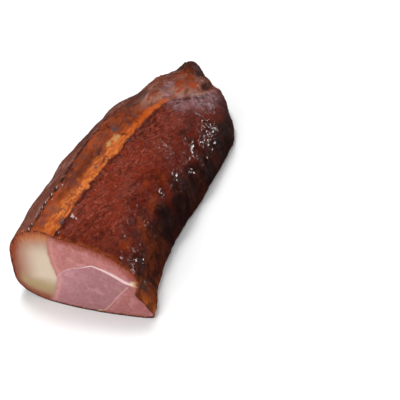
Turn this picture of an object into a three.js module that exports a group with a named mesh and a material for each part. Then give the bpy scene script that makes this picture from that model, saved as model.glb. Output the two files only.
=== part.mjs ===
// A slab of smoked pork belly lying on its side: one grown piece with a rind edge, a thick
// fat layer and a lean side, cut square across at the front and torn to a lobed tip behind.
// Millimetres, +Z up. The cut face looks along -Y and the slab runs back along +Y.
// The origin is the middle of the slab's footprint, at the level it rests on.

import * as THREE from 'three';
import { LoftGeometry } from 'three/addons/geometries/LoftGeometry.js';
import { mergeVertices } from 'three/addons/utils/BufferGeometryUtils.js';

// ---- Driving sizes ----

const slabLength = 320; // cut face to the tip
const faceWidth = 112; // rind side to lean side at the cut face
const crownHeight = 68; // top of the fat at the cut face
const leanHeight = 63.5; // top of the lean, just past the fat, at the cut face
const shoulderHeight = 34; // where the lean's top turns down into its side wall
const lipHeight = 12; // thickness of the flap along the foot of the lean side
const grooveDepth = 12; // how far the side wall is let in above that flap
const grooveLength = 60; // how far back from the cut face the groove runs
const fatThickness = 36; // rind side to the step between fat and lean
const rindFootHeight = 27; // height of the rounding at the foot of the rind side
const undersideInset = 31; // rind side to where the underside starts to touch
const sideWaist = 9; // how far the lean side draws in just behind the cut face
const sideBulge = 5; // how far the lean side swells out past the cut face's width
const tipHeight = 27; // height of the slab just before the tip
const tipOffset = 53; // rind side of the cut face to the middle of the tip
const tipWidth = 15; // width of the tongue just before the tip
const tipRound = 12; // length of the rounding that closes the tip
const notchDepth = 6; // depth of the notches between the lobes of the torn end
const notchLength = 9; // how far each notch runs along the slab
const outerNotch = 30; // tip to the notch beside the lean lobe
const innerNotch = 11; // tip to the notch beside the tongue
const dentDepth = 1.5; // depth of the broad dents over the whole skin
const dentSpacing = 83; // length of one dent along the slab
const flatFade = 8; // height over which the dents die out towards the flat underside

// ---- Resolution ----

const bodyRings = 56; // cross-sections from the cut face to the tip's rounding
const tipRings = 7; // cross-sections in the tip's rounding
const pointsPerSpan = 3; // ring points from one outline point to the next

// ---- Helpers ----

// A smooth curve through [place, value] pairs, level beyond its ends.
function profile(pairs) {
  const last = pairs.length - 1;
  const slopeAt = (index) => {
    const before = pairs[Math.max(index - 1, 0)];
    const after = pairs[Math.min(index + 1, last)];
    return (after[1] - before[1]) / (after[0] - before[0]);
  };
  return (place) => {
    if (place <= pairs[0][0]) return pairs[0][1];
    if (place >= pairs[last][0]) return pairs[last][1];
    const index = pairs.findIndex((pair) => pair[0] > place) - 1;
    const [startPlace, startValue] = pairs[index];
    const [endPlace, endValue] = pairs[index + 1];
    const run = endPlace - startPlace;
    const t = (place - startPlace) / run;
    const blend = t * t * (3 - 2 * t);
    return startValue + (endValue - startValue) * blend
      + t * (1 - t) ** 2 * run * slopeAt(index)
      - t ** 2 * (1 - t) * run * slopeAt(index + 1);
  };
}

// 1 at the middle of a bump, falling to 0 on both sides of it.
function bump(place, middle, halfWidth) {
  return Math.exp(-(((place - middle) / halfWidth) ** 2));
}

// ---- The slab's edges and height, by share of its length ----

const tipRindSide = tipOffset - tipWidth / 2;
const tipLeanSide = tipOffset + tipWidth / 2;
const endStep = (faceWidth - tipLeanSide) / 3; // each step of the torn end's slant

const rindEdge = profile([
  [0, 0], [0.27, 0], [0.42, 0.09 * tipRindSide], [0.57, 0.2 * tipRindSide],
  [0.72, 0.38 * tipRindSide], [0.85, 0.67 * tipRindSide], [1, tipRindSide],
]);
const leanEdge = profile([
  [0, faceWidth], [0.12, faceWidth - 0.8 * sideWaist], [0.25, faceWidth - sideWaist],
  [0.4, faceWidth - 0.3 * sideWaist], [0.6, faceWidth + 0.8 * sideBulge],
  [0.72, faceWidth + sideBulge], [0.82, faceWidth - 0.4 * endStep],
  [0.89, faceWidth - 1.1 * endStep], [0.94, faceWidth - 2 * endStep], [1, tipLeanSide],
]);
const heightAlong = profile([
  [0, crownHeight], [0.3, crownHeight], [0.55, 0.9 * crownHeight],
  [0.75, 0.72 * crownHeight], [0.9, 0.5 * crownHeight], [1, tipHeight],
]);

// ---- One cross-section ----

// The outline at the cut face as [across, up] points: from the underside round the rind,
// over the fat and the lean, and down the side wall to the flap.
const grooveSill = lipHeight + 0.5 * (shoulderHeight - lipHeight);
const faceOutline = [
  [undersideInset, 0],
  [0.5 * undersideInset, 0.1 * rindFootHeight],
  [0.2 * undersideInset, 0.26 * rindFootHeight],
  [0.04 * undersideInset, 0.55 * rindFootHeight],
  [0, rindFootHeight],
  [0, 0.6 * crownHeight],
  [0.02 * faceWidth, 0.76 * crownHeight],
  [0.25 * fatThickness, 0.9 * crownHeight],
  [0.5 * fatThickness, 0.97 * crownHeight],
  [0.82 * fatThickness, crownHeight],
  [fatThickness, leanHeight + 1],
  [fatThickness + 0.12 * faceWidth, leanHeight],
  [fatThickness + 0.25 * faceWidth, 0.96 * leanHeight],
  [0.72 * faceWidth, 0.87 * leanHeight],
  [0.81 * faceWidth, 0.76 * leanHeight],
  [0.92 * faceWidth, shoulderHeight],
  [faceWidth - grooveDepth, grooveSill],
  [0.94 * faceWidth, 1.5 * lipHeight],
  [faceWidth, 0.7 * lipHeight],
  [faceWidth, 0],
];

// The side wall with no groove in it, for the sections behind the groove's end.
function plainWall([across, up]) {
  const inWall = across > 0.85 * faceWidth && up > 0 && up < 1.05 * shoulderHeight;
  return inWall ? faceWidth * (1 - 0.08 * (up / shoulderHeight) ** 2) : across;
}

// Broad dents over the skin: three crossed waves that never line up into a pattern.
function dent(along, around) {
  const turn = around * 2 * Math.PI;
  const phase = (along / dentSpacing) * 2 * Math.PI;
  const long = Math.sin(phase + 2 * Math.cos(turn));
  const middle = Math.sin(1.63 * phase + 3 * Math.sin(turn + 1) + 2);
  const short = Math.sin(2.71 * phase - 4 * Math.cos(turn + 0.4) + 4);
  return dentDepth * (0.5 * long + 0.3 * middle + 0.2 * short);
}

// The ring of points at one share of the length. `closing` is 1 along the slab and falls
// to 0 as the tip's rounding closes.
function section(share, closing) {
  const along = share * slabLength;
  const left = rindEdge(share);
  const right = leanEdge(share);
  const height = heightAlong(share);
  const grooveFade = THREE.MathUtils.smoothstep(along, 0.3 * grooveLength, grooveLength);
  const roundness = THREE.MathUtils.smoothstep(share, 0.45, 1);
  const notches = [outerNotch, innerNotch].reduce((depth, fromTip) => (
    depth + notchDepth * bump(along, slabLength - fromTip, notchLength / 2)
  ), 0);
  const skinFade = THREE.MathUtils.smoothstep(along, 0, dentSpacing / 2);

  const corners = faceOutline.map(([across, up]) => {
    const wall = THREE.MathUtils.lerp(across, plainWall([across, up]), grooveFade);
    const offCentre = (2 * wall) / faceWidth - 1;
    const dome = Math.sqrt(Math.max(1 - offCentre ** 2, 0));
    const domed = up > 0.5 * crownHeight ? crownHeight * (0.45 + 0.55 * dome) : up;
    const level = THREE.MathUtils.lerp(up, Math.min(domed, up + 0.1 * crownHeight), roundness);
    return new THREE.Vector3(
      left + (wall / faceWidth) * (right - left),
      along,
      (level / crownHeight) * height,
    );
  });

  const middle = new THREE.Vector3((left + right) / 2, along, height / 2);
  const curve = new THREE.CatmullRomCurve3(corners, true, 'centripetal');
  const count = corners.length * pointsPerSpan;
  const ring = [];
  for (let i = 0; i < count; i += 1) {
    const around = i / count;
    const point = curve.getPoint(around);
    const outward = point.clone().sub(middle).normalize();
    const leanSide = THREE.MathUtils.smoothstep(outward.x, 0.3, 0.9);
    const aboveFlat = THREE.MathUtils.smoothstep(point.z, 0, flatFade);
    const push = skinFade * aboveFlat * dent(along, around) - leanSide * notches;
    point.addScaledVector(outward, push);
    point.lerp(middle, 1 - closing);
    point.y = along;
    point.z = Math.max(point.z, 0);
    ring.push(point);
  }
  return ring;
}

// ---- The slab ----

function slabGeometry() {
  const tipStart = 1 - tipRound / slabLength;
  const rings = [];
  for (let i = 0; i <= bodyRings; i += 1) {
    rings.push(section((tipStart * i) / bodyRings, 1));
  }
  for (let i = 1; i <= tipRings; i += 1) {
    const angle = (i / (tipRings + 1)) * (Math.PI / 2);
    const share = tipStart + (1 - tipStart) * Math.sin(angle);
    rings.push(section(share, Math.cos(angle)));
  }
  const loft = new LoftGeometry(rings, { closed: true, capStart: true, capEnd: true });
  const shell = new THREE.BufferGeometry();
  shell.setAttribute('position', loft.getAttribute('position'));
  shell.setIndex(loft.getIndex());
  const geometry = mergeVertices(shell, 1e-3);

  geometry.computeBoundingBox();
  const box = geometry.boundingBox;
  geometry.translate(-(box.min.x + box.max.x) / 2, -(box.min.y + box.max.y) / 2, -box.min.z);
  geometry.computeVertexNormals();
  return geometry;
}

const smokedMeat = new THREE.MeshStandardMaterial({
  name: 'smoked_meat',
  color: 0x6e3320,
  roughness: 0.45,
  metalness: 0,
});

const smokedPorkBelly = new THREE.Mesh(slabGeometry(), smokedMeat);
smokedPorkBelly.name = 'smoked_pork_belly';

const part = new THREE.Group();
part.name = 'smoked_pork_belly_slab';
part.add(smokedPorkBelly);

export default part;
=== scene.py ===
"""A slab of smoked pork belly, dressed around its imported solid.

One closed mesh stands for the slab. Its skin is sampled from the solid, ring by ring from the
cut face to the tip, then given the relief of rind, fat, lean and torn end. The cut face is a
finely meshed plane inside the first ring. Attributes on the points say where each zone of
the meat lies, and two node materials, one for the skin and one for the cut, colour them.

Lengths in the named constants are millimetres unless they say otherwise.
"""

import math

import bpy
import numpy as np
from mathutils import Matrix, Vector, noise
from mathutils.bvhtree import BVHTree
from mathutils.geometry import delaunay_2d_cdt


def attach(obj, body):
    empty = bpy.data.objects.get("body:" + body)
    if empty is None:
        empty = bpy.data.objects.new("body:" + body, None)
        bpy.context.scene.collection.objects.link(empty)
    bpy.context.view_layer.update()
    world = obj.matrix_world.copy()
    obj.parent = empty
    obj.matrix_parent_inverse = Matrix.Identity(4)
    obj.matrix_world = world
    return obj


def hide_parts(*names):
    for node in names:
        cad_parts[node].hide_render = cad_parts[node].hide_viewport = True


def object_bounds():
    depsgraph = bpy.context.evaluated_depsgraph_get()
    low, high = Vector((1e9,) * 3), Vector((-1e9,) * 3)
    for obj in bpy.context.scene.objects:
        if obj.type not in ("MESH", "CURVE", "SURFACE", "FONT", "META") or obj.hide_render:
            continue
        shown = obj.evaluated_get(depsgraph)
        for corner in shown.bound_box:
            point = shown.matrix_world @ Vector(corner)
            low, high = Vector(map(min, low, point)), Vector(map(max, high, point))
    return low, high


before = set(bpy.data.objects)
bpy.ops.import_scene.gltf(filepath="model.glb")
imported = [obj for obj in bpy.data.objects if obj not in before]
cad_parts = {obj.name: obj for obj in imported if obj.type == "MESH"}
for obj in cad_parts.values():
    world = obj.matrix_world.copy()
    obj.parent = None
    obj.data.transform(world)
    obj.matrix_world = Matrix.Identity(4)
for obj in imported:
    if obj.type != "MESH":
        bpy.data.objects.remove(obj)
cad_low, cad_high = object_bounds()

MM = 0.001
NODE = "smoked_pork_belly"
WIDTH, LENGTH, HEIGHT = ((cad_high - cad_low) / MM)[:]

# ---- Mesh resolution ----

RING_STEP = 1.12  # from one ring of the skin to the next
RING_POINTS = 288  # points round each ring
RAYS = 720  # rays cast round each ring to find the solid
TIP_ROUND = 12.0  # length of the tip's rounding, where the rings crowd together
TIP_RINGS = 14
RING_BLUR = 2.5  # standard deviation of the smoothing along the slab, in rings
RAY_BLUR = 5.0  # and round it, in rays
MIDDLE_BLUR = 3.0  # and of the middles that the rays start from, in rings
RAY_START = 9.0  # how far outside the solid the rays that find its sides start
RAY_HEIGHT = 0.17  # share of the height where they run
FACE_STEP = 0.85  # point spacing inside the cut face
FACE_ROWS = 0.87  # the rows' spacing, as a share of FACE_STEP
FACE_CLEAR = 0.55  # how far the inner points keep from the rim, as a share of FACE_STEP

# ---- The foot of the cut, which bows forward in its middle ----

FOOT_FORWARD = 5.0  # how far it comes forward at the floor
FOOT_HEIGHT = 45.0  # where the bow has died out, above the floor
FOOT_DEPTH = 30.0  # and behind the cut

# ---- The map for baking, in shares of its side ----

MAP_EDGE = 0.004  # margin at the left and right of the unrolled skin
SKIN_LOW = 0.284  # the skin's lower edge
SKIN_TALL = 0.7  # the skin's height
TIP_HIGH = 0.99  # where the fan at the tip ends
FACE_EDGE = 0.006  # margin below and left of the cut face
FACE_SCALE = 0.0038  # share of the side for each millimetre of the cut face

# ---- Where the zones lie: (share of the length from the cut face, share of the width) ----

LEAN_EDGE = [(0.0, 0.31), (0.1, 0.328), (0.2, 0.352), (0.3, 0.376), (0.37, 0.418), (0.46, 0.436),
             (0.55, 0.47), (0.6, 0.49), (0.655, 0.555), (0.7, 0.67), (0.8, 0.77), (1.0, 0.85)]
RIND_CORNER = [(0.0, 0.153), (0.1, 0.164), (0.18, 0.182), (0.26, 0.164), (0.32, 0.168), (0.4, 0.19),
               (0.5, 0.202), (0.66, 0.25), (0.8, 0.3), (0.9, 0.38), (1.0, 0.46)]
WET_EDGE = [(0.0, 0.82), (0.15, 0.82), (0.3, 0.83), (0.45, 0.84), (0.6, 0.81), (0.75, 0.8),
            (0.9, 0.74), (1.0, 0.6)]
STRIPE_WIDTH = 9.5  # bright band of fat beside the lean
FAR_STRIPE_WIDTH = 6.5  # the same band past the middle of the slab
STRIPE_END = 0.67  # share of the length where the band runs out

# Marks on the skin: share of the length, share of the width, half-length, half-width. "slick" and
# "pocks" shape the skin and wet it; the others colour it.
MARKS = {
    "cream": [(0.402, 0.345, 8, 3.4), (0.37, 0.33, 7, 2)],
    "brown": [(0.428, 0.385, 3.6, 5), (0.5, 0.41, 3, 2), (0.3, 0.355, 4, 1.6)],
    "grey": [(0.435, 0.31, 4, 2.4), (0.404, 0.437, 3.4, 2.2), (0.06, 0.31, 5, 1.6),
             (0.27, 0.33, 4, 1.6)],
    "amber": [(0.335, 0.73, 9, 5), (0.29, 0.665, 5, 2.6), (0.07, 0.72, 9, 5), (0.16, 0.745, 9, 4),
              (0.24, 0.74, 12, 3.4), (0.15, 0.785, 12, 4)],
    "deep": [(0.6, 0.73, 16, 8), (0.52, 0.74, 14, 6)],
    "slick": [(0.628, 0.85, 4, 4.4), (0.53, 0.866, 10, 6), (0.452, 0.871, 3, 2.2),
              (0.365, 0.81, 7, 4), (0.297, 0.77, 2.6, 2), (0.183, 0.785, 3.4, 2.6),
              (0.07, 0.81, 7, 4), (0.02, 0.8, 4, 2.4)],
    "pocks": [(0.33, 0.285, 9, 3.6), (0.43, 0.24, 12, 4), (0.5, 0.2, 10, 3)],
    # The violet-grey marks near the far end are a painted sheen.
    "painted_sheen": [(0.645, 0.62, 15, 11), (0.69, 0.72, 14, 10), (0.76, 0.78, 14, 9), (0.68, 0.5, 9, 5),
              (0.74, 0.45, 20, 4), (0.71, 0.81, 10, 4)],
    "ember": [(0.785, 0.61, 9, 6), (0.77, 0.52, 12, 3), (0.72, 0.56, 14, 2.4)],
}

# Lumps and hollows, most of them at the torn end: share of the length, share of the width,
# half-length, half-width, and how far they stand out.
LUMPS = [(0.83, 0.71, 13, 4.2, -6.5), (0.9, 0.6, 10, 5.5, -5.5), (0.815, 0.795, 12, 6, 2.6),
         (0.925, 0.475, 10, 6, 1.6), (0.83, 0.3, 16, 9, 3.0), (0.65, 0.275, 28, 12, -5.5),
         (0.93, 0.38, 8, 6, -1.5), (0.36, 0.11, 60, 10, -2.2)]

# ---- The cut face: (share of the width, share of the height) ----

FAT_EDGE = [(0.275, 0.0), (0.298, 0.13), (0.318, 0.25), (0.327, 0.36), (0.308, 0.45),
            (0.283, 0.59), (0.274, 0.7), (0.284, 0.86), (0.302, 1.0)]
MAIN_SEAM = [(0.325, 0.36), (0.37, 0.455), (0.44, 0.53), (0.51, 0.565), (0.57, 0.61),
             (0.63, 0.59), (0.7, 0.55), (0.76, 0.505), (0.8, 0.47), (0.86, 0.45)]
SIDE_SEAM = [(0.82, 0.4), (0.78, 0.32), (0.745, 0.235), (0.69, 0.09), (0.64, 0.0)]
GRISTLE = (0.88, 0.47)
NICK = (0.63, 0.015)


def srgb(red, green, blue):
    """A colour given as 0 to 255 on screen, as the linear colour that a shader takes."""
    return tuple((c / 255 / 12.92 if c <= 10 else ((c / 255 + 0.055) / 1.055) ** 2.4)
                 for c in (red, green, blue)) + (1.0,)


# ---- Numbers on arrays ----


def smoothstep(low, high, value):
    t = np.clip((value - low) / (high - low), 0.0, 1.0)
    return t * t * (3 - 2 * t)


def bump(value, middle, half_width):
    return np.exp(-(((value - middle) / half_width) ** 2))


def spline(points, across, along):
    """A dense smooth polyline through points given as shares of the two lengths."""
    p = np.array(points) * (across, along)
    p = np.vstack([2 * p[0] - p[1], p, 2 * p[-1] - p[-2]])
    t = np.linspace(0, 1, 24, endpoint=False)[:, None]
    parts = [
        0.5 * (2 * b + (c - a) * t + (2 * a - 5 * b + 4 * c - d) * t**2
               + (3 * b - a - 3 * c + d) * t**3)
        for a, b, c, d in zip(p, p[1:], p[2:], p[3:])
    ]
    return np.vstack([*parts, p[-2:-1]])


def gap_to(line, points):
    """Each point's distance to a polyline, and the share of the line where it is nearest."""
    best = np.full(len(points), 1e9)
    place = np.zeros(len(points))
    for i, (start, end) in enumerate(zip(line, line[1:])):
        run = end - start
        t = np.clip(((points - start) @ run) / max(run @ run, 1e-12), 0, 1)
        gap = np.hypot(*(points - start - t[:, None] * run).T)
        nearer = gap < best
        best[nearer] = gap[nearer]
        place[nearer] = (i + t[nearer]) / (len(line) - 1)
    return best, place


def blur(values, spread, axis, wrap):
    """Gaussian smoothing of a grid along one axis."""
    reach = int(3 * spread)
    weights = np.exp(-0.5 * (np.arange(-reach, reach + 1) / spread) ** 2)
    weights /= weights.sum()
    pad = [(0, 0)] * values.ndim
    pad[axis] = (reach, reach)
    padded = np.pad(values, pad, mode="wrap" if wrap else "edge")
    count = values.shape[axis]
    return sum(w * np.take(padded, range(i, i + count), axis) for i, w in enumerate(weights))


def cloud(points, size, octaves=3, seed=0, stretch=(1, 1, 1)):
    """Soft noise, about -1 to 1, whose blobs measure `size`, longer where stretch is over 1."""
    shift = Vector((17.3 * seed, 9.1 * seed, 5.7 * seed))
    scaled = points / (size * np.array(stretch))
    return np.array([noise.fractal(Vector(p) + shift, 1.0, 2.0, octaves) for p in scaled])


def ridges(points, size, octaves=3, seed=0, stretch=(1, 1, 1)):
    """Sharp creases between soft swells, 0 in a crease and up to 1 on a swell."""
    return np.clip(np.abs(cloud(points, size, octaves, seed, stretch)) * 2.2, 0, 1)


def turned(points, degrees):
    """The points turned about the upright axis, so that noise can be stretched aslant."""
    a = math.radians(degrees)
    x = points[:, 0] * math.cos(a) - points[:, 1] * math.sin(a)
    y = points[:, 0] * math.sin(a) + points[:, 1] * math.cos(a)
    return np.stack([x, y, points[:, 2]], axis=1)


# ---- The skin, sampled from the solid ----


def sample_solid():
    """A grid of points on the solid, in millimetres from its box's lowest corner: rings from
    the cut face to the tip, each starting underneath and turning anticlockwise."""
    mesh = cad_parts[NODE].data
    corners = [(v.co - cad_low) / MM for v in mesh.vertices]
    tree = BVHTree.FromPolygons(corners, [p.vertices[:] for p in mesh.polygons])

    straight = np.linspace(0, LENGTH - TIP_ROUND, round((LENGTH - TIP_ROUND) / RING_STEP) + 1)
    swing = np.linspace(0, math.pi / 2, TIP_RINGS + 1)[1:-1]
    places = np.concatenate([straight, LENGTH - TIP_ROUND * (1 - np.sin(swing))])
    places[0] = 1e-4

    def hit(start, direction):
        found = tree.ray_cast(Vector(start), Vector(direction))[0]
        return None if found is None else np.array(found)

    low = RAY_HEIGHT * HEIGHT
    middles = []
    for place in places:
        left = hit((-RAY_START, place, low), (1, 0, 0))[0]
        right = hit((WIDTH + RAY_START, place, low), (-1, 0, 0))[0]
        top = hit(((left + right) / 2, place, 2 * HEIGHT), (0, 0, -1))[2]
        middles.append(((left + right) / 2, top / 2))
    middles = blur(np.array(middles), MIDDLE_BLUR, 0, False)

    angles = np.linspace(-math.pi / 2, 1.5 * math.pi, RAYS, endpoint=False)
    radii = np.zeros((len(places), RAYS))
    for j, (place, (x, z)) in enumerate(zip(places, middles)):
        for m, angle in enumerate(angles):
            direction = (math.cos(angle), 0, math.sin(angle))
            found = hit((x, place, z), direction)
            if found is None:
                radii[j, m] = radii[j, m - 1]
            else:
                radii[j, m] = np.hypot(found[0] - x, found[2] - z)
    radii = blur(blur(radii, RING_BLUR, 0, False), RAY_BLUR, 1, True)

    grid = np.zeros((len(places), RING_POINTS, 3))
    for j, (place, (x, z)) in enumerate(zip(places, middles)):
        ring = np.stack([x + radii[j] * np.cos(angles), z + radii[j] * np.sin(angles)], axis=1)
        ring = np.vstack([ring, ring[:1]])
        run = np.concatenate([[0], np.cumsum(np.hypot(*np.diff(ring, axis=0).T))])
        even = np.linspace(0, run[-1], RING_POINTS, endpoint=False)
        grid[j, :, 0] = np.interp(even, run, ring[:, 0])
        grid[j, :, 1] = place
        grid[j, :, 2] = np.maximum(np.interp(even, run, ring[:, 1]), 0)
    grid[0, :, 1] = 0
    return grid


def grid_normals(grid):
    along = np.gradient(grid, axis=0)
    around = np.roll(grid, -1, axis=1) - np.roll(grid, 1, axis=1)
    normals = np.cross(along, around)
    return normals / np.maximum(np.linalg.norm(normals, axis=2, keepdims=True), 1e-9)


# ---- Zones and relief of the skin ----


def across_at(line, back):
    """The place across the slab, in millimetres, of a zone's edge at each share of the length."""
    curve = spline(line, 1.0, 1.0)
    return np.interp(back, curve[:, 0], curve[:, 1]) * WIDTH


def skin_zones(points, normals):
    """For each point of the skin, how far it is past each edge and how much of each zone it is."""
    x, z = points[:, 0], points[:, 2]
    back = points[:, 1] / LENGTH
    up, right = normals[:, 2], normals[:, 0]
    lean = x - across_at(LEAN_EDGE, back)
    corner = x - across_at(RIND_CORNER, back)
    side = smoothstep(0.1, 0.75, right)
    torn = smoothstep(0.7, 0.9, back)
    shoulder = smoothstep(-5.0, 3.0, x - across_at(WET_EDGE, back)) * smoothstep(0.0, 0.3, up)
    # The side wall facing right, which the skin material darkens partly with painted shade.
    shaded_wall = smoothstep(0.7, 0.92, right + 0.12 * cloud(points, 14, 3, 19))
    groove = side * (1 - smoothstep(0.08, 0.26, back)) * (1 - smoothstep(26, 40, z))
    under = smoothstep(-0.75, -0.95, up)
    marks = {
        kind: np.max([
            bump(points[:, 1], place * LENGTH, half_length) * bump(x, across * WIDTH, half_width)
            for place, across, half_length, half_width in spots
        ], axis=0) * smoothstep(-0.1, 0.2, up)
        for kind, spots in MARKS.items()
    }
    damp = shoulder * (1 - groove) * np.clip(0.25 + 1.5 * cloud(points, 24, 3, 1), 0, 1)
    damp *= smoothstep(0.0, 0.28, back)
    wet = np.clip(0.45 * damp + 1.6 * marks["slick"] * (0.9 + cloud(points, 5, 2, 21)), 0, 1)
    return {
        **marks,
        "lean_gap": lean + 1.6 * cloud(points, 7, 3, 2),
        "corner_gap": corner,
        "back": back,
        "upward": up,
        "side": side,
        "shaded_wall": shaded_wall,
        "torn": torn,
        "wet": wet,
        "groove": groove,
        "under": under,
    }


def skin_relief(points, zones):
    """How far the skin stands out from the smooth solid, in millimetres."""
    back, up = zones["back"], zones["upward"]
    lean_gap, corner_gap = zones["lean_gap"], zones["corner_gap"]
    lean = smoothstep(-1.0, 2.0, lean_gap)
    rind = smoothstep(1.5, -1.5, corner_gap)
    fat = (1 - lean) * (1 - rind)
    top = smoothstep(0.0, 0.5, up)
    fibres = turned(points, 20)

    # The lean sits a little lower than the fat, with a raised lip of fat beside it.
    step = -1.3 * lean * top * (1 - zones["torn"])
    lip = 0.5 * bump(lean_gap, -3.0, 2.5) * top

    # Dried muscle: long fibres crossed by fine wrinkles.
    swells = 0.75 * cloud(fibres, 10, 3, 3, (1, 4, 1))
    wrinkles = 0.7 * ridges(fibres, 3.2, 3, 4, (1, 3.4, 1))
    wrinkles += 0.3 * ridges(points, 5, 2, 5, (1, 1.4, 1))
    muscle = lean * (1 - 0.5 * zones["side"]) * (swells + wrinkles)

    # The shoulder is blistered, and the side wall hangs in folds.
    blisters = zones["wet"] * (0.9 * cloud(points, 9, 2, 6) + 0.45 * cloud(points, 3.6, 1, 7))
    blisters += 0.45 * zones["slick"] * cloud(points, 4.2, 2, 22)
    creases = 0.3 * cloud(points, 6, 2, 9)
    folds = zones["side"] * (1.1 * cloud(points, 17, 2, 8, (1, 1, 1.6)) + creases)

    # Fat is smoother, in long low waves; rind is taut, with fine creases along it.
    ripples = 0.16 * cloud(points, 2.6, 2, 11, (1, 2, 1))
    waves = fat * (0.5 * cloud(points, 14, 3, 10, (1, 3, 1)) + ripples)
    fine = 0.25 * ridges(points, 5, 3, 13, (1, 2.4, 1))
    skin = rind * (0.6 * cloud(points, 22, 3, 12, (1, 2, 1)) + fine)

    # A broken row of pits runs where the rind turns over onto the fat.
    row = top * (1 - smoothstep(0.5, 0.64, back))
    broken = smoothstep(-0.15, 0.25, cloud(points, 5, 2, 14))
    pocks = zones["pocks"] * smoothstep(0.05, 0.4, cloud(points, 4.5, 2, 18))
    zones["pit"] = np.maximum(row * (0.15 + 0.85 * broken) * bump(corner_gap, 0.0, 1.8), pocks)
    pits = -row * (0.2 + 1.2 * broken) * bump(corner_gap, 0.0, 1.5) - 1.5 * pocks
    beads = 0.7 * row * broken * (bump(corner_gap, -2.6, 1.1) + bump(corner_gap, 2.8, 1.2))

    # The far end is torn into lumps, with clefts between the fat, the middle and the lean.
    lumps = zones["torn"] * (0.9 * cloud(points, 13, 3, 15) + 0.7 * ridges(points, 8, 3, 16))
    clefts = -1.5 * zones["torn"] * bump(lean_gap, -4.0, 2.2) * top

    for place, across, half_length, half_width, height in LUMPS:
        along = bump(points[:, 1], place * LENGTH, half_length)
        beside = bump(points[:, 0], across * WIDTH, half_width)
        lumps += height * along * beside * smoothstep(-0.2, 0.2, up)

    # Under its own weight the slab lies flat, so there the skin only has shallow hollows.
    total = step + lip + muscle + blisters + folds + waves + skin + pits + beads + lumps + clefts
    flat = -0.5 * np.clip(cloud(points, 12, 3, 17) + 0.1, 0, 1)
    touching = smoothstep(1.2, 0.2, points[:, 2]) * smoothstep(-0.8, -0.97, up)
    return total * (1 - touching) + flat * touching


def dressed_skin():
    """The grid of the skin with its relief, and the zones of its points."""
    grid = sample_solid()
    shape = grid.shape
    normals = grid_normals(grid)
    points = grid.reshape(-1, 3)
    flat_normals = normals.reshape(-1, 3)
    zones = skin_zones(points, flat_normals)
    relief = skin_relief(points, zones)
    outward = flat_normals.copy()
    outward[: shape[1], 1] = 0  # the cut face stays in its plane
    points = points + outward * relief[:, None]
    points[:, 2] = np.maximum(points[:, 2], 0)
    points[shape[1]:, 1] = np.maximum(points[shape[1]:, 1], 0.2)
    # How far each point sinks below its smoothed surroundings; the skin material paints shade
    # there.
    near, far = (
        blur(blur(relief.reshape(shape[:2]), reach, 0, False), reach, 1, True).ravel() - relief
        for reach in (4.0, 12.0)
    )
    zones["painted_hollow_shade"] = np.clip(0.5 + 0.7 * near + 0.22 * far, 0, 1)
    return points.reshape(shape), zones


# ---- The cut face ----


def cut_points(rim):
    """Points inside the rim, on a grid of staggered rows that keeps clear of the rim itself."""
    low, high = rim.min(0), rim.max(0)
    rows = np.arange(low[1] + 0.5 * FACE_STEP, high[1], FACE_STEP * FACE_ROWS)
    spots = np.array([
        (x + (0.5 * FACE_STEP if i % 2 else 0), z)
        for i, z in enumerate(rows)
        for x in np.arange(low[0], high[0], FACE_STEP)
    ])
    turns = np.zeros(len(spots))
    for start, end in zip(rim, np.roll(rim, -1, axis=0)):
        a, b = start - spots, end - spots
        turns += np.arctan2(a[:, 0] * b[:, 1] - a[:, 1] * b[:, 0], (a * b).sum(1))
    gap, _ = gap_to(np.vstack([rim, rim[:1]]), spots)
    return spots[(np.abs(turns) > math.pi) & (gap > FACE_CLEAR * FACE_STEP)]


def cut_zones(places, rim):
    """Where fat, seams and muscles lie on the cut, in millimetres from their edges."""
    face_width = rim[:, 0].max() - rim[:, 0].min()
    face_height = rim[:, 1].max()
    shift = np.array([rim[:, 0].min(), 0])

    def line(points):
        return spline(points, face_width, face_height) + shift

    def blob(spot, half_width, half_height):
        across, up = (places - shift - np.array(spot) * (face_width, face_height)).T
        return np.exp(-((across / half_width) ** 2) - (up / half_height) ** 2)

    fat_line, main_line, side_line = line(FAT_EDGE), line(MAIN_SEAM), line(SIDE_SEAM)
    fat_gap, _ = gap_to(fat_line, places)
    fat_side = np.interp(places[:, 1], fat_line[:, 1], fat_line[:, 0]) - places[:, 0]
    main_gap, main_place = gap_to(main_line, places)
    main_side = np.interp(places[:, 0], main_line[:, 0], main_line[:, 1]) - places[:, 1]
    side_gap, side_place = gap_to(side_line, places)
    side_side = places[:, 0] - np.interp(places[:, 1], side_line[::-1, 1], side_line[::-1, 0])
    rim_gap, _ = gap_to(np.vstack([rim, rim[:1]]), places)
    return {
        "fat_gap": fat_gap * np.sign(fat_side),
        "main_seam": main_gap / (0.35 + 0.9 * smoothstep(0.3, 0.75, main_place)),
        "main_place": main_place,
        "below_seam": main_gap * np.sign(main_side),
        "side_seam": side_gap / (0.45 + 0.25 * smoothstep(0.7, 1.0, side_place)),
        "past_side_seam": side_gap * np.sign(side_side),
        "rim_gap": rim_gap,
        "height": places[:, 1] / face_height,
        "gristle": blob(GRISTLE, 4.8, 3.4),
        "nick": blob(NICK, 3.6, 1.5),
    }


def cut_relief(places, zones):
    """How far the cut stands back from its plane: muscle sinks as it dries, seams stand up."""
    points = np.stack([places[:, 0], np.zeros(len(places)), places[:, 1]], axis=1)
    inside = smoothstep(0.0, 3.0, zones["rim_gap"])
    lean = smoothstep(1.0, -2.5, zones["fat_gap"])
    sunk = 0.75 * lean * inside * (1 - 0.7 * bump(zones["main_seam"], 0, 1.6))
    sunk -= 0.3 * lean * inside * bump(zones["side_seam"], 0, 1.6)
    grain = 0.12 * cloud(points, 3.0, 3, 20) + 0.2 * cloud(points, 14, 2, 21)
    return np.maximum(sunk + inside * (0.25 + grain), 0)


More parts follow.
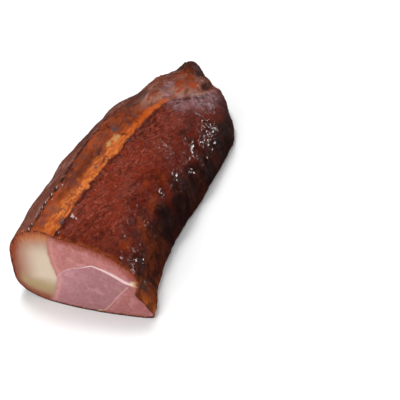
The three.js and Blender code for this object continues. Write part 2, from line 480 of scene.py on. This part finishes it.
def foot_forward(points):
    """How far each point moves towards the front, so that the foot of the cut bows out."""
    across = np.clip(points[:, 0] / WIDTH, 0, 1)
    low = 1 - smoothstep(0, FOOT_HEIGHT, points[:, 2])
    near = 1 - smoothstep(0, FOOT_DEPTH, points[:, 1])
    return FOOT_FORWARD * np.sin(math.pi * across) * low * near


# ---- The mesh ----


def face_triangles(rim, inner):
    """Triangles that fill the rim through the inner points: places, where each came from, and
    the triangles, all turning the way that faces the front."""
    spots = [Vector(spot) for spot in np.vstack([rim, inner])]
    found = delaunay_2d_cdt(spots, [], [list(range(len(rim)))], 1, 1e-5)
    places = np.array([place[:] for place in found[0]])
    source = np.array([ids[0] if ids else len(rim) + i for i, ids in enumerate(found[3])])
    triangles = np.array(found[2])
    a, b, c = (places[triangles[:, i]] for i in range(3))
    turn = (b - a)[:, 0] * (c - a)[:, 1] - (b - a)[:, 1] * (c - a)[:, 0]
    triangles[turn < 0] = triangles[turn < 0][:, ::-1]
    return places, source, triangles


def slab_mesh():
    """One closed mesh of skin and cut face, with its zones as attributes and a map for baking."""
    grid, skin = dressed_skin()
    rings, around = grid.shape[:2]
    skin_count = rings * around
    rim = grid[0][:, [0, 2]]
    places, source, triangles = face_triangles(rim, cut_points(rim))
    on_rim = source < around
    number = np.where(on_rim, source, skin_count + np.cumsum(~on_rim))
    inner = places[~on_rim]
    inner_zones = cut_zones(inner, rim)
    rim_zones = cut_zones(rim, rim)

    tip = grid[-1].mean(0) + (0, 0.1, 0)
    sunk = cut_relief(inner, inner_zones)
    face_points = np.stack([inner[:, 0], sunk, inner[:, 1]], axis=1)
    points = np.vstack([grid.reshape(-1, 3), tip[None], face_points])
    points[:, 1] -= foot_forward(points)
    points = points * MM + np.array(cad_low)

    # The skin's quads, the fan that closes the tip, and the face's triangles.
    j, k = np.meshgrid(np.arange(rings - 1), np.arange(around), indexing="ij")
    j, k = j.ravel(), k.ravel()
    after = (k + 1) % around
    ring, next_ring = j * around, (j + 1) * around
    quads = np.stack([ring + k, next_ring + k, next_ring + after, ring + after], 1)
    last = (rings - 1) * around
    fan = np.array([(last + n, skin_count, last + (n + 1) % around) for n in range(around)])
    front = number[triangles]
    mesh = bpy.data.meshes.new(f"{NODE}_meat")
    mesh.from_pydata(points, [], [*quads.tolist(), *fan.tolist(), *front.tolist()])

    # Zones: the skin's are blank inside the face, and the face's are blank past the rim.
    for name, values in skin.items():
        full = np.zeros(len(points))
        full[:skin_count] = values
        full[skin_count] = values[-around:].mean()
        mesh.attributes.new(name, "FLOAT", "POINT").data.foreach_set("value", full)
    for name, values in inner_zones.items():
        full = np.zeros(len(points))
        full[:around] = rim_zones[name]
        full[skin_count + 1:] = values
        mesh.attributes.new(name, "FLOAT", "POINT").data.foreach_set("value", full)

    # The map for baking: the skin unrolled above, the face laid out below it.
    wide = 1 - 2 * MAP_EDGE
    u = MAP_EDGE + wide * np.stack([k, k, k + 1, k + 1], 1) / around
    v = SKIN_LOW + SKIN_TALL * np.stack([j, j + 1, j + 1, j], 1) / rings
    skin_map = np.stack([u, v], 2).reshape(-1, 2)
    n = np.arange(around)
    u = MAP_EDGE + wide * np.stack([n, n + 0.5, n + 1], 1) / around
    skin_end = SKIN_LOW + SKIN_TALL * (rings - 1) / rings
    v = np.broadcast_to([skin_end, TIP_HIGH, skin_end], u.shape)
    fan_map = np.stack([u, v], 2).reshape(-1, 2)
    low = rim.min(0)
    face_map = (FACE_EDGE + (places - low) * FACE_SCALE)[triangles].reshape(-1, 2)
    layer = mesh.uv_layers.new(name="OFBake")
    layer.uv.foreach_set("vector", np.vstack([skin_map, fan_map, face_map]).ravel())

    material = np.zeros(len(mesh.polygons), dtype=np.int32)
    material[-len(front):] = 1
    mesh.polygons.foreach_set("material_index", material)
    mesh.polygons.foreach_set("use_smooth", np.ones(len(mesh.polygons), dtype=bool))
    ends = np.zeros(2 * len(mesh.edges), dtype=np.int32)
    mesh.edges.foreach_get("vertices", ends)
    ends = ends.reshape(-1, 2)
    sharp = (ends < around).all(1)
    mesh.attributes.new("sharp_edge", "BOOLEAN", "EDGE").data.foreach_set("value", sharp)
    mesh.update()
    return mesh


# ---- Materials ----


class Shade:
    """A material whose node chains are written as short calls.

    A value is a number, a colour or another node's output.
    """

    def __init__(self, name):
        self.material = bpy.data.materials.new(name)
        self.material.use_nodes = True
        self.tree = self.material.node_tree
        self.shader = self.tree.nodes["Principled BSDF"]
        self.where = self.tree.nodes.new("ShaderNodeTexCoord").outputs["Object"]

    def fill(self, socket, value):
        if isinstance(value, bpy.types.NodeSocket):
            self.tree.links.new(value, socket)
        else:
            socket.default_value = value

    def math(self, operation, first, second=0.0):
        node = self.tree.nodes.new("ShaderNodeMath")
        node.operation = operation
        self.fill(node.inputs[0], first)
        self.fill(node.inputs[1], second)
        return node.outputs[0]

    def add(self, first, second):
        return self.math("ADD", first, second)

    def times(self, first, second):
        return self.math("MULTIPLY", first, second)

    def zone(self, name):
        """A value stored on the mesh's points."""
        node = self.tree.nodes.new("ShaderNodeAttribute")
        node.attribute_name = name
        return node.outputs["Fac"]

    def step(self, value, low, high, start=0.0, end=1.0):
        """A smooth change from `start`, where the value is low, to `end`, where it is high."""
        node = self.tree.nodes.new("ShaderNodeMapRange")
        node.interpolation_type = "SMOOTHSTEP"
        for place, entry in enumerate((value, low, high, start, end)):
            self.fill(node.inputs[place], entry)
        return node.outputs[0]

    def band(self, value, middle, half_width):
        """1 where the value is at the middle, falling to 0 at the half-width on both sides."""
        gap = self.math("ABSOLUTE", self.add(value, -middle))
        return self.step(gap, 0.0, half_width, 1.0, 0.0)

    def space(self, stretch, degrees=0.0):
        """Object space turned about the upright axis, then squeezed along what is stretched."""
        turn = self.tree.nodes.new("ShaderNodeMapping")
        turn.inputs["Rotation"].default_value = (0, 0, math.radians(degrees))
        self.fill(turn.inputs["Vector"], self.where)
        squeeze = self.tree.nodes.new("ShaderNodeMapping")
        squeeze.inputs["Scale"].default_value = [1 / s for s in stretch]
        self.fill(squeeze.inputs["Vector"], turn.outputs[0])
        return squeeze.outputs[0]

    def noise(self, size, detail=3.0, stretch=(1, 1, 1), degrees=0.0, seed=0.0, warp=0.0):
        """Soft noise from 0 to 1, mostly near 0.5, whose blobs measure `size` millimetres."""
        node = self.tree.nodes.new("ShaderNodeTexNoise")
        node.noise_dimensions = "4D"
        self.fill(node.inputs["Vector"], self.space(stretch, degrees))
        node.inputs["W"].default_value = seed
        node.inputs["Scale"].default_value = 1 / (size * MM)
        node.inputs["Detail"].default_value = detail
        node.inputs["Distortion"].default_value = warp
        return node.outputs["Fac"]

    def cells(self, size, stretch=(1, 1, 1), degrees=0.0):
        """Rounded cells: 0 in each middle, rising to the gaps between them."""
        node = self.tree.nodes.new("ShaderNodeTexVoronoi")
        node.feature = "SMOOTH_F1"
        node.inputs["Smoothness"].default_value = 0.4
        self.fill(node.inputs["Vector"], self.space(stretch, degrees))
        node.inputs["Scale"].default_value = 1 / (size * MM)
        return node.outputs["Distance"]

    def mix(self, share, first, second, blend="MIX"):
        node = self.tree.nodes.new("ShaderNodeMix")
        node.data_type = "RGBA"
        node.blend_type = blend
        self.fill(node.inputs["Factor"], share)
        self.fill(node.inputs[6], first)
        self.fill(node.inputs[7], second)
        return node.outputs[2]

    def bumps(self, height, depth):
        """Ties a height from 0 to 1 to the shader's normal, `depth` millimetres deep."""
        node = self.tree.nodes.new("ShaderNodeBump")
        node.inputs["Strength"].default_value = 1.0
        node.inputs["Distance"].default_value = depth * MM
        self.fill(node.inputs["Height"], height)
        self.fill(self.shader.inputs["Normal"], node.outputs[0])


# Marks in the order they are laid on: kind, colour, and how strongly they show at most.
MARK_COLOURS = (
    ("deep", srgb(66, 18, 12), 0.5),
    ("ember", srgb(158, 56, 8), 0.92),
    ("amber", srgb(150, 58, 10), 0.55),
    ("grey", srgb(78, 70, 76), 0.8),
    ("brown", srgb(96, 44, 24), 0.9),
    ("cream", srgb(204, 148, 90), 0.8),
)


def skin_material():
    """Smoked skin: grey-brown rind, tan fat with its orange band, red-brown lean, wet shoulder."""
    s = Shade("smoked_skin")
    fine = s.noise(1.6, 3, seed=1)
    medium = s.noise(6, 4, seed=2)
    broad = s.noise(24, 3, seed=3)
    fibres = s.noise(3.2, 4, (1, 3.6, 1), 20, seed=4, warp=0.6)
    cells = s.cells(2.6, (1, 1.8, 1), 20)

    ragged = s.add(s.times(s.add(medium, -0.5), 3.0), s.times(s.add(fine, -0.5), 2.4))
    lean_gap = s.add(s.zone("lean_gap"), ragged)
    corner_gap = s.add(s.zone("corner_gap"), s.times(ragged, 1.2))
    back = s.zone("back")
    painted_hollow_shade = s.zone("painted_hollow_shade")
    lean = s.step(lean_gap, -0.6, 0.8)
    rind = s.step(corner_gap, 1.0, -1.5)
    stripe_fades = s.step(back, STRIPE_END - 0.08, STRIPE_END + 0.06, 1.0, 0.0)
    stripe_edge = s.step(back, 0.38, 0.5, -STRIPE_WIDTH, -FAR_STRIPE_WIDTH)
    past_edge = s.step(lean_gap, s.add(stripe_edge, -2.5), s.add(stripe_edge, 4.0))
    stripe = s.times(past_edge, stripe_fades)
    torn = s.zone("torn")
    wet = s.zone("wet")

    # Fat under smoke: tan-brown, blotched, with the brighter orange band beside the lean.
    streaks = s.noise(2.2, 5, (1, 4, 1), 4, seed=5, warp=0.5)
    fat = s.mix(s.step(broad, 0.42, 0.6), srgb(110, 46, 24), srgb(144, 62, 26))
    fat = s.mix(s.step(streaks, 0.5, 0.66, 0.0, 0.75), fat, srgb(80, 34, 20))
    fat = s.mix(s.step(streaks, 0.46, 0.32, 0.0, 0.6), fat, srgb(152, 80, 44))
    sooty = s.step(s.add(medium, s.times(fine, 0.4)), 0.68, 0.82, 0.0, 0.5)
    fat = s.mix(sooty, fat, srgb(94, 58, 52))
    orange = s.mix(s.step(streaks, 0.36, 0.62), srgb(216, 124, 58), srgb(172, 78, 30))
    orange = s.mix(s.step(back, 0.36, 0.5, 0.0, 0.8), orange, srgb(184, 80, 18))
    orange = s.mix(s.step(fine, 0.48, 0.64, 0.0, 0.4), orange, srgb(146, 66, 32))
    spots = s.step(s.add(medium, s.times(fine, 0.5)), 0.76, 0.9, 0.0, 0.7)
    orange = s.mix(spots, orange, srgb(116, 58, 42))
    fat = s.mix(s.times(stripe, 0.9), fat, orange)

    # Lean: red-brown on top, deeper red to the right, dark in its creases.
    level = s.step(s.zone("upward"), 0.74, 0.97)
    red = s.mix(s.step(back, 0.25, 0.6), srgb(130, 46, 26), srgb(112, 42, 28))
    red = s.mix(level, srgb(104, 25, 5), red)
    red = s.mix(s.step(broad, 0.5, 0.66, 0.0, 0.6), red, srgb(106, 28, 8))
    greyer = s.noise(15, 4, (1, 1.6, 1), 20, seed=9)
    red = s.mix(s.times(s.step(greyer, 0.5, 0.66, 0.0, 0.5), level), red, srgb(126, 62, 48))
    red = s.mix(s.step(fibres, 0.5, 0.66, 0.0, 0.35), red, srgb(84, 24, 11))
    # Light flecks, ridges and specks, partly pale grain and partly painted sheen, strongest on the
    # top.
    grain_and_sheen = s.add(0.3, s.times(level, 0.7))
    red = s.mix(s.times(s.step(cells, 0.5, 0.9, 0.0, 0.35), grain_and_sheen), red, srgb(146, 68, 48))
    red = s.mix(s.times(s.band(fibres, 0.5, 0.035), 0.6), red, srgb(64, 16, 8))
    red = s.mix(s.times(s.band(fibres, 0.56, 0.03), s.times(grain_and_sheen, 0.55)), red, srgb(172, 96, 78))
    red = s.mix(s.times(s.step(fine, 0.6, 0.72, 0.0, 0.45), grain_and_sheen), red, srgb(168, 98, 84))
    red = s.mix(s.step(lean_gap, 3.5, 0.5, 0.0, 0.55), red, srgb(76, 32, 24))
    red = s.mix(s.step(back, 0.12, 0.0, 0.0, 0.6), red, srgb(92, 24, 4))
    meat = s.mix(lean, fat, red)

    # Rind: taut and grey-brown, darker towards its foot.
    hide = s.mix(s.step(broad, 0.3, 0.7), srgb(120, 70, 58), srgb(102, 56, 44))
    blotches = s.step(s.noise(9, 5, (1, 2, 1), seed=7, warp=1.2), 0.35, 0.75, 0.0, 0.7)
    hide = s.mix(blotches, hide, srgb(86, 44, 32))
    lines = s.noise(1.8, 4, (1, 8, 1), 6, seed=15, warp=0.3)
    hide = s.mix(s.step(lines, 0.52, 0.64, 0.0, 0.55), hide, srgb(70, 36, 26))
    hide = s.mix(s.step(lines, 0.44, 0.34, 0.0, 0.5), hide, srgb(166, 128, 118))
    hide = s.mix(s.step(s.cells(1.7), 0.32, 0.12, 0.0, 0.35), hide, srgb(156, 112, 100))
    hide = s.mix(s.step(s.zone("upward"), 0.35, -0.45), hide, srgb(84, 44, 24))
    meat = s.mix(rind, meat, hide)
    meat = s.mix(s.step(s.zone("pit"), 0.2, 0.7, 0.0, 0.68), meat, srgb(52, 20, 12))

    # The wet shoulder is nearly black and the side wall below it dark red-brown, both partly
    # painted shade.
    wet_and_shaded = s.mix(s.step(medium, 0.45, 0.6), srgb(36, 14, 12), srgb(66, 22, 12))
    meat = s.mix(s.times(wet, 0.7), meat, wet_and_shaded)
    drips = s.noise(9, 4, (1, 1, 2.6), seed=8, warp=0.8)
    shaded_wall = s.mix(s.step(drips, 0.38, 0.66), srgb(34, 11, 6), srgb(66, 21, 8))
    meat = s.mix(s.zone("shaded_wall"), meat, shaded_wall)
    flap = s.mix(s.step(drips, 0.36, 0.62), srgb(80, 26, 7), srgb(136, 58, 18))
    meat = s.mix(s.times(s.zone("groove"), 0.8), meat, flap)
    edge = s.add(back, s.times(s.add(fine, -0.5), 0.014))
    flap_edge = s.times(s.step(edge, 0.032, 0.008, 0.0, 0.85), s.zone("groove"))
    lip = s.math("MAXIMUM", s.step(edge, 0.014, 0.003, 0.0, 0.25), flap_edge)
    meat = s.mix(lip, meat, srgb(188, 94, 32))

    # Towards the torn end the fat fades to grey-tan.
    faded = s.times(s.step(back, 0.54, 0.66), s.step(s.add(back, s.times(medium, 0.1)), 0.86, 0.77))
    faded = s.times(faded, s.step(corner_gap, 0.0, 8.0, 0.25, 1.0))
    faded = s.times(faded, s.step(lean_gap, 3.0, -3.0))
    wisps = s.noise(7, 4, (1, 2.6, 1), -12, seed=18, warp=0.8)
    faded = s.times(faded, s.step(wisps, 0.38, 0.58, 0.1, 0.8))
    faded = s.times(faded, s.add(1.0, s.times(stripe, -0.8)))
    meat = s.mix(faded, meat, srgb(160, 118, 102))

    # The torn end: orange and red where fat shows, grey-violet dried lean elsewhere.
    patches = s.step(s.noise(10, 4, (1, 1.8, 1), seed=17), 0.42, 0.58)
    scraps = s.mix(patches, srgb(134, 94, 84), srgb(118, 50, 20))
    scraps = s.mix(s.step(medium, 0.5, 0.62, 0.0, 0.6), scraps, srgb(70, 36, 28))
    meat = s.mix(s.times(torn, s.step(lean_gap, 9.0, -2.0, 0.0, 0.8)), meat, scraps)
    ashen = s.mix(s.step(medium, 0.4, 0.6), srgb(92, 68, 74), srgb(66, 42, 42))
    meat = s.mix(s.times(torn, s.step(lean_gap, -4.0, 6.0, 0.0, 0.55)), meat, ashen)
    tip = s.step(s.add(back, s.times(medium, 0.12)), 0.9, 0.98, 0.0, 0.85)
    meat = s.mix(tip, meat, srgb(54, 24, 17))

    # A painted violet-grey sheen near the far end, then the marks: deeper red, orange fat, single
    # spots.
    torn_edge = s.add(s.times(s.add(medium, -0.5), 1.8), s.times(s.add(fine, -0.5), 1.4))
    sheen_violet = s.mix(s.step(medium, 0.4, 0.58), srgb(158, 124, 132), srgb(118, 80, 78))
    sheen_share = s.step(s.add(s.zone("painted_sheen"), s.times(torn_edge, 0.45)), 0.0, 1.1, 0.0, 0.8)
    meat = s.mix(s.times(sheen_share, s.step(s.zone("painted_sheen"), 0.02, 0.25)), meat, sheen_violet)
    for kind, colour, most in MARK_COLOURS:
        spot = s.step(s.add(s.zone(kind), torn_edge), 0.2, 0.95, 0.0, most)
        meat = s.mix(s.times(spot, s.step(s.zone(kind), 0.05, 0.3)), meat, colour)

    # Underneath it is duller, and painted shade darkens the hollows everywhere.
    meat = s.mix(s.times(s.zone("under"), 0.7), meat, srgb(92, 52, 36))
    meat = s.mix(s.step(painted_hollow_shade, 0.55, 1.0, 0.0, 0.6), meat, srgb(48, 16, 9))
    s.fill(s.shader.inputs["Base Color"], meat)

    rough = s.add(s.step(medium, 0.35, 0.65, 0.26, 0.42), s.times(wet, -0.1))
    rough = s.add(rough, s.times(s.zone("under"), 0.2))
    s.fill(s.shader.inputs["Roughness"], rough)
    oily = s.times(s.step(medium, 0.42, 0.6, 0.1, 0.5), s.step(s.zone("upward"), 0.7, 0.95))
    oily = s.times(s.times(oily, s.add(1.0, s.times(rind, -0.8))), s.add(1.0, s.times(torn, -0.7)))
    oily = s.math("MAXIMUM", oily, s.math("MINIMUM", s.times(s.zone("pit"), 2.0), 0.4))
    s.fill(s.shader.inputs["Coat Weight"], s.math("MAXIMUM", s.times(wet, 0.85), oily))
    s.shader.inputs["Coat Roughness"].default_value = 0.06
    s.shader.inputs["Specular IOR Level"].default_value = 0.09
    s.shader.inputs["Subsurface Weight"].default_value = 0.06
    s.shader.inputs["Subsurface Radius"].default_value = (0.004, 0.0015, 0.0008)
    s.shader.inputs["Subsurface Scale"].default_value = 1.0

    creased = s.add(s.times(fibres, 0.8), s.times(s.band(fibres, 0.5, 0.05), -0.35))
    height = s.add(s.times(creased, lean), s.times(fine, 0.4))
    not_lean = s.add(1.0, s.times(lean, -1.0))
    height = s.add(height, s.times(s.times(streaks, not_lean), 0.3))
    height = s.add(height, s.times(s.times(cells, lean), 0.35))
    height = s.add(height, s.times(s.noise(0.7, 2, seed=6), 0.2))
    smooth = s.math("MAXIMUM", s.times(wet, 0.9), s.times(s.times(stripe, not_lean), 0.7))
    s.bumps(s.times(height, s.add(1.0, s.times(smooth, -1.0))), 0.7)
    return s.material


def cut_material():
    """The fresh cut: ivory fat browning outwards, pink lean muscles between pale seams."""
    s = Shade("cut_meat")
    fine = s.noise(1.3, 3, seed=11)
    grain = s.noise(1.8, 4, seed=12)
    medium = s.noise(8, 3, seed=13)
    wander = s.times(s.add(medium, -0.5), 2.4)
    rim = s.add(s.zone("rim_gap"), s.times(wander, 0.35))
    fat_gap = s.add(s.zone("fat_gap"), s.times(wander, 0.8))

    # Fat, from its dark skin inwards: red-brown, tan, then ivory, greenish low down, amber on top.
    fat = s.mix(s.step(rim, 3.0, 25.0), srgb(158, 102, 80), srgb(204, 184, 162))
    fat = s.mix(s.step(rim, 0.5, 9.0), srgb(134, 72, 46), fat)
    high = s.zone("height")
    greenish = s.times(s.band(high, 0.2, 0.16), s.step(rim, 2.0, 8.0))
    fat = s.mix(s.times(greenish, 0.7), fat, srgb(164, 146, 98))
    amber = s.times(s.step(high, 0.66, 0.95), s.step(rim, 15.0, 1.0))
    fat = s.mix(amber, fat, srgb(206, 134, 78))

    # Lean: rose above the long seam, mauve below it, browner in the small right muscle.
    upper = s.mix(s.step(medium, 0.4, 0.6), srgb(170, 102, 96), srgb(182, 112, 108))
    lower = s.mix(s.step(medium, 0.38, 0.6), srgb(188, 134, 142), srgb(178, 118, 124))
    browner = s.step(s.zone("past_side_seam"), -48.0, -16.0, 0.0, 0.85)
    lower = s.mix(browner, lower, srgb(154, 102, 104))
    lean = s.mix(s.step(s.zone("below_seam"), -0.4, 0.6), upper, lower)
    lean = s.mix(s.step(s.zone("past_side_seam"), -0.4, 0.6), lean, srgb(164, 98, 94))
    lean = s.mix(s.step(grain, 0.46, 0.74, 0.0, 0.28), lean, srgb(204, 148, 146))
    lean = s.mix(s.step(grain, 0.5, 0.3, 0.0, 0.25), lean, srgb(138, 78, 80))
    marbled = s.noise(8, 4, (1.3, 1, 1), seed=16, warp=1.0)
    lean = s.mix(s.step(marbled, 0.5, 0.7, 0.0, 0.4), lean, srgb(204, 150, 152))
    blend = s.step(high, 0.0, 0.4, 3.2, 1.2)
    meat = s.mix(s.step(fat_gap, s.times(blend, -1.0), blend), lean, fat)
    halo = s.times(s.band(fat_gap, -2.4, 2.8), 0.45)
    meat = s.mix(halo, meat, srgb(212, 150, 134))

    # Seams of white tissue, ending in a knot of yellow gristle at the right.
    line = s.add(s.zone("main_seam"), s.times(s.add(fine, -0.5), 0.7))
    bolder = s.step(s.zone("main_place"), 0.05, 0.5, 0.45, 0.95)
    meat = s.mix(s.step(line, 1.5, 0.5, 0.0, bolder), meat, srgb(232, 196, 196))
    thin = s.add(s.zone("side_seam"), s.times(s.add(fine, -0.5), 0.8))
    meat = s.mix(s.step(thin, 1.8, 0.5, 0.0, 0.6), meat, srgb(214, 160, 156))
    knot = s.add(s.zone("gristle"), s.times(s.add(fine, -0.5), 0.9))
    gristle = s.mix(s.step(grain, 0.4, 0.6), srgb(206, 170, 118), srgb(226, 200, 168))
    meat = s.mix(s.step(knot, 0.35, 0.6), meat, gristle)
    meat = s.mix(s.step(s.zone("nick"), 0.35, 0.7, 0.0, 0.9), meat, srgb(198, 170, 118))

    # The smoked edge, which is a thin dark line with orange just inside it.
    combed = s.noise(1.5, 3, (1, 1, 3.2), seed=14, warp=0.3)
    above = s.step(high, 0.35, 0.6)
    ragged = s.add(rim, s.times(s.add(combed, -0.5), s.add(3.0, s.times(above, 7.0))))
    far_right = s.step(s.zone("past_side_seam"), -26.0, 2.0, 0.0, 3.0)
    reach = s.add(2.8, s.times(above, s.add(6.0, far_right)))
    inside = s.step(ragged, s.add(0.4, above), reach, 1.0, 0.0)
    meat = s.mix(s.times(inside, 0.9), meat, srgb(142, 56, 20))
    crust = s.mix(s.step(high, 0.2, 0.6), srgb(48, 30, 22), srgb(98, 34, 14))
    meat = s.mix(s.step(ragged, 1.5, 0.4), meat, crust)
    s.fill(s.shader.inputs["Base Color"], meat)

    s.fill(s.shader.inputs["Roughness"], s.step(medium, 0.35, 0.65, 0.34, 0.5))
    s.shader.inputs["Coat Weight"].default_value = 0.08
    s.shader.inputs["Coat Roughness"].default_value = 0.2
    s.shader.inputs["Subsurface Weight"].default_value = 0.15
    s.shader.inputs["Subsurface Radius"].default_value = (0.004, 0.002, 0.0012)
    s.shader.inputs["Subsurface Scale"].default_value = 1.0
    s.bumps(s.add(s.times(grain, 0.7), s.times(fine, 0.3)), 0.35)
    return s.material


# ---- The piece ----

meat = bpy.data.objects.new(f"{NODE}_meat", slab_mesh())
bpy.context.scene.collection.objects.link(meat)
meat.data.materials.append(skin_material())
meat.data.materials.append(cut_material())
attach(meat, "root")
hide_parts(NODE)

# ---- Floor, light and camera ----

CAMERA_TURN = 15.27  # degrees to the right of the cut face's front
CAMERA_TILT = 40  # degrees above the table
CAMERA_AWAY = 2.5272  # distance, in lengths of the slab
CAMERA_AIM = (1.0075, 0.3246, 0.49)  # share of the solid's box that the camera looks at
LENS = 90

ROOM_HORIZON = 0.4  # strength of the white room at and below eye level
ROOM_ZENITH = 0.7  # and overhead
ROOM_MIRRORED = 0.08  # share of it that shows in reflections

# Softboxes: direction from the slab, distance, width and height in metres, and watts.
SOFTBOXES = {
    "key": ((-0.35, 0.2, 0.92), 1.1, 0.35, 0.35, 7.0),
    "fill": ((-0.35, -0.85, 0.42), 1.3, 0.8, 0.6, 8.0),
    "back": ((0.24, 0.95, 0.18), 1.1, 0.4, 0.14, 0.6),
    "glint": ((0.67, 0.72, 0.18), 1.0, 0.16, 0.08, 1.05),
}

middle = (cad_low + cad_high) / 2
size = cad_high - cad_low


def floor():
    """A plain white table top that reaches far past the slab on all sides."""
    mesh = bpy.data.meshes.new("floor")
    far = 12 * size.y
    corners = [(-far, -far, 0), (far, -far, 0), (far, far, 0), (-far, far, 0)]
    mesh.from_pydata(corners, [], [(0, 1, 2, 3)])
    obj = bpy.data.objects.new("floor", mesh)
    bpy.context.scene.collection.objects.link(obj)
    s = Shade("white_table")
    white = s.mix(s.noise(40, 2), srgb(248, 248, 248), srgb(252, 252, 252))
    mirrored = s.tree.nodes.new("ShaderNodeLightPath").outputs["Is Glossy Ray"]
    s.fill(s.shader.inputs["Base Color"], s.mix(mirrored, white, srgb(70, 70, 70)))
    s.shader.inputs["Roughness"].default_value = 0.9
    s.shader.inputs["Specular IOR Level"].default_value = 0.0
    mesh.materials.append(s.material)


def soft_light(name, direction, distance, width, height, power):
    """A rectangular softbox that faces the slab from the given direction."""
    data = bpy.data.lights.new(name, "AREA")
    data.shape = "RECTANGLE"
    data.size, data.size_y = width, height
    data.energy = power
    obj = bpy.data.objects.new(name, data)
    away = Vector(direction).normalized()
    obj.location = middle + away * distance
    obj.rotation_euler = away.to_track_quat("Z", "Y").to_euler()
    bpy.context.scene.collection.objects.link(obj)


def room_light():
    """A plain white room, dim round the horizon and bright overhead. It looks white itself, and
    its reflections are kept down so that the softboxes make the glints."""
    world = bpy.data.worlds.new("room")
    world.use_nodes = True
    bpy.context.scene.world = world
    nodes, links = world.node_tree.nodes, world.node_tree.links
    split = nodes.new("ShaderNodeSeparateXYZ")
    links.new(nodes.new("ShaderNodeTexCoord").outputs["Generated"], split.inputs[0])
    rise = nodes.new("ShaderNodeMapRange")
    rise.interpolation_type = "SMOOTHSTEP"
    for place, entry in enumerate((0.0, 0.55, 0.9, ROOM_HORIZON, ROOM_ZENITH)):
        rise.inputs[place].default_value = entry
    links.new(split.outputs["Z"], rise.inputs[0])
    path = nodes.new("ShaderNodeLightPath")
    share = nodes.new("ShaderNodeMapRange")
    share.inputs["To Min"].default_value = 1.0
    share.inputs["To Max"].default_value = ROOM_MIRRORED
    links.new(path.outputs["Is Glossy Ray"], share.inputs[0])
    strength = nodes.new("ShaderNodeMath")
    strength.operation = "MULTIPLY"
    links.new(rise.outputs[0], strength.inputs[0])
    links.new(share.outputs[0], strength.inputs[1])
    seen = nodes.new("ShaderNodeMix")
    links.new(path.outputs["Is Camera Ray"], seen.inputs[0])
    links.new(strength.outputs[0], seen.inputs[2])
    seen.inputs[3].default_value = 1.0
    links.new(seen.outputs[0], nodes["Background"].inputs["Strength"])
    nodes["Background"].inputs["Color"].default_value = (1, 1, 1, 1)


def camera():
    """A long lens, a little to the right of the cut face, looking down across it."""
    turn, tilt = math.radians(CAMERA_TURN), math.radians(CAMERA_TILT)
    data = bpy.data.cameras.new("camera")
    data.lens = LENS
    data.sensor_width = 36
    obj = bpy.data.objects.new("camera", data)
    bpy.context.scene.collection.objects.link(obj)
    aim = cad_low + Vector(CAMERA_AIM) * size
    level = math.cos(tilt)
    away = Vector((math.sin(turn) * level, -math.cos(turn) * level, math.sin(tilt)))
    obj.location = aim + away * CAMERA_AWAY * size.y
    obj.rotation_euler = away.to_track_quat("Z", "Y").to_euler()
    bpy.context.scene.camera = obj


floor()
camera()
room_light()
for name, softbox in SOFTBOXES.items():
    soft_light(name, *softbox)
bpy.context.scene.view_settings.view_transform = "Standard"
